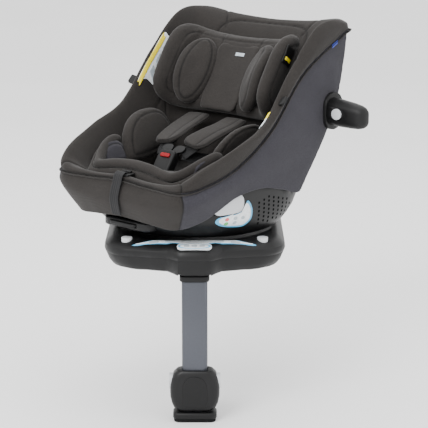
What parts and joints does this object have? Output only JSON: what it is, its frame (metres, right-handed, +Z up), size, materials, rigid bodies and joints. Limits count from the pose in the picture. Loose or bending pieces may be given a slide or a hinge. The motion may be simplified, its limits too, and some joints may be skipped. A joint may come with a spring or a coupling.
{
  "type": "convertible car seat",
  "caption": "Rotating child car seat: padded bucket with harness and headrest on a turning, reclining cradle and an ISOFIX base with a folding support leg.",
  "frame": {"origin": "centre of the underside of the rear grip pad, on which the base rests on a vehicle seat cushion", "axes": "+Z up; -Y towards the support leg and the vehicle's front; the seat is stored turned 42 degrees about Z from facing -Y towards -X"},
  "size_m": [0.6984, 0.6649, 0.865],
  "materials": {
    "shell": "satin",
    "black": "fine texture",
    "grey": "satin",
    "red": "gloss",
    "steel": "zinc plated",
    "tube": "metallic satin",
    "rubber": "matte",
    "lens": "gloss",
    "fabric": "woven, matte",
    "side": "woven, matte",
    "webbing": "woven webbing",
    "foam": "foam, matte"
  },
  "bodies": {
    "base": {"base_lower_tray": "black", "base_top_cover": "shell", "base_grip_pad": "rubber", "leg_window": "lens", "turntable_race": "steel", "leg_hinge_pin": "steel"},
    "isofix": {"isofix_frame": "steel", "isofix_connector_left": "grey", "isofix_connector_right": "grey"},
    "claw_left": {"isofix_claw_left": "steel"},
    "claw_right": {"isofix_claw_right": "steel"},
    "isofix_button_left": {"isofix_button_left": "grey"},
    "isofix_button_right": {"isofix_button_right": "grey"},
    "leg": {"leg_knuckle": "black", "leg_upper_tube": "tube", "leg_adjuster_housing": "shell"},
    "leg_foot": {"leg_lower_tube": "tube", "foot_plate": "black", "foot_sole": "rubber"},
    "leg_button_left": {"leg_button_left": "grey"},
    "leg_button_right": {"leg_button_right": "grey"},
    "turntable": {"turntable_disc": "steel", "cradle_bowl": "shell", "recline_rail_left": "steel", "recline_rail_right": "steel"},
    "spin_release_left": {"spin_release_left": "grey"},
    "spin_release_right": {"spin_release_right": "grey"},
    "recline_handle": {"recline_handle": "black"},
    "seat": {"seat_shell": "black", "side_foam_left": "foam", "side_foam_right": "foam", "backrest_core": "foam", "cover_side_left": "side", "cover_side_right": "side", "cover_front": "fabric", "cover_liner": "fabric", "insert_cushion": "fabric", "insert_wing_left": "fabric", "insert_wing_right": "fabric", "insert_bolster_left": "fabric", "insert_bolster_right": "fabric", "buckle_housing": "black", "crotch_strap": "webbing", "shoulder_strap_left": "webbing", "shoulder_strap_right": "webbing", "lap_strap_left": "webbing", "lap_strap_right": "webbing", "adjuster_bezel": "black", "adjuster_strap": "webbing", "pod_socket": "black"},
    "buckle_button": {"buckle_button": "red"},
    "adjuster_button": {"adjuster_button": "black"},
    "headrest": {"headrest_cushion": "fabric", "headrest_insert": "fabric", "headrest_frame": "black", "shoulder_pad_left": "fabric", "shoulder_pad_right": "fabric"},
    "headrest_lever": {"headrest_lever": "black"},
    "pod": {"side_pod": "black"},
    "pod_button": {"pod_button": "grey"}
  },
  "joints": [
    {"name": "turntable_spin", "type": "hinge", "parent": "base", "child": "turntable", "pos_m": [0, -0.19, 0.07], "axis": [0, 0, 1], "continuous": true},
    {"name": "seat_recline", "type": "hinge", "parent": "turntable", "child": "seat", "pos_m": [-0.02677, -0.21973, 0.62], "axis": [0.7431, -0.6691, 0], "range_deg": [-10, 0]},
    {"name": "headrest_height", "type": "slide", "parent": "seat", "child": "headrest", "axis": [0.3546, 0.3938, 0.848], "range_m": [0, 0.13]},
    {"name": "headrest_lever_pull", "type": "slide", "parent": "headrest", "child": "headrest_lever", "axis": [0.3546, 0.3938, 0.848], "range_m": [0, 0.008], "stiffness_N_per_m": 1500},
    {"name": "isofix_extend", "type": "slide", "parent": "base", "child": "isofix", "axis": [0, 1, 0], "range_m": [0, 0.08]},
    {"name": "isofix_button_left_press", "type": "slide", "parent": "base", "child": "isofix_button_left", "axis": [0, 0, -1], "range_m": [0, 0.006], "stiffness_N_per_m": 1500},
    {"name": "isofix_button_right_press", "type": "slide", "parent": "base", "child": "isofix_button_right", "axis": [0, 0, -1], "range_m": [0, 0.006], "stiffness_N_per_m": 1500},
    {"name": "claw_left_open", "type": "hinge", "parent": "isofix", "child": "claw_left", "pos_m": [0.14, 0.048, 0.041], "axis": [1, 0, 0], "range_deg": [0, 25]},
    {"name": "claw_right_open", "type": "hinge", "parent": "isofix", "child": "claw_right", "pos_m": [-0.14, 0.048, 0.041], "axis": [1, 0, 0], "range_deg": [0, 25]},
    {"name": "leg_fold", "type": "hinge", "parent": "base", "child": "leg", "pos_m": [0, -0.412, 0.027], "axis": [-1, 0, 0], "range_deg": [-90, 0]},
    {"name": "leg_extend", "type": "slide", "parent": "leg", "child": "leg_foot", "axis": [0, 0, -1], "range_m": [0, 0.18]},
    {"name": "leg_button_left_press", "type": "slide", "parent": "leg", "child": "leg_button_left", "axis": [-1, 0, 0], "range_m": [0, 0.0035], "stiffness_N_per_m": 1500},
    {"name": "leg_button_right_press", "type": "slide", "parent": "leg", "child": "leg_button_right", "axis": [1, 0, 0], "range_m": [0, 0.0035], "stiffness_N_per_m": 1500},
    {"name": "spin_release_left_press", "type": "slide", "parent": "turntable", "child": "spin_release_left", "axis": [-0.7431, 0.6691, 0], "range_m": [0, 0.002], "stiffness_N_per_m": 1500},
    {"name": "spin_release_right_press", "type": "slide", "parent": "turntable", "child": "spin_release_right", "axis": [0.7431, -0.6691, 0], "range_m": [0, 0.002], "stiffness_N_per_m": 1500},
    {"name": "recline_handle_pull", "type": "slide", "parent": "turntable", "child": "recline_handle", "axis": [-0.6691, -0.7431, 0], "range_m": [0, 0.008], "stiffness_N_per_m": 1500},
    {"name": "buckle_button_press", "type": "slide", "parent": "seat", "child": "buckle_button", "axis": [0.5481, 0.6087, -0.5736], "range_m": [0, 0.003], "stiffness_N_per_m": 1500},
    {"name": "adjuster_button_press", "type": "slide", "parent": "seat", "child": "adjuster_button", "axis": [0, 0, -1], "range_m": [0, 0.0025], "stiffness_N_per_m": 1500},
    {"name": "pod_detach", "type": "slide", "parent": "seat", "child": "pod", "axis": [0.7431, -0.6691, 0], "range_m": [0, 0.03]},
    {"name": "pod_button_press", "type": "slide", "parent": "pod", "child": "pod_button", "axis": [0.6691, 0.7431, 0], "range_m": [0, 0.003], "stiffness_N_per_m": 1500}
  ],
  "couplings": [
    {"joint": "claw_left_open", "follows": "isofix_button_left_press", "rad_per_m": 72},
    {"joint": "claw_right_open", "follows": "isofix_button_right_press", "rad_per_m": 72}
  ]
}
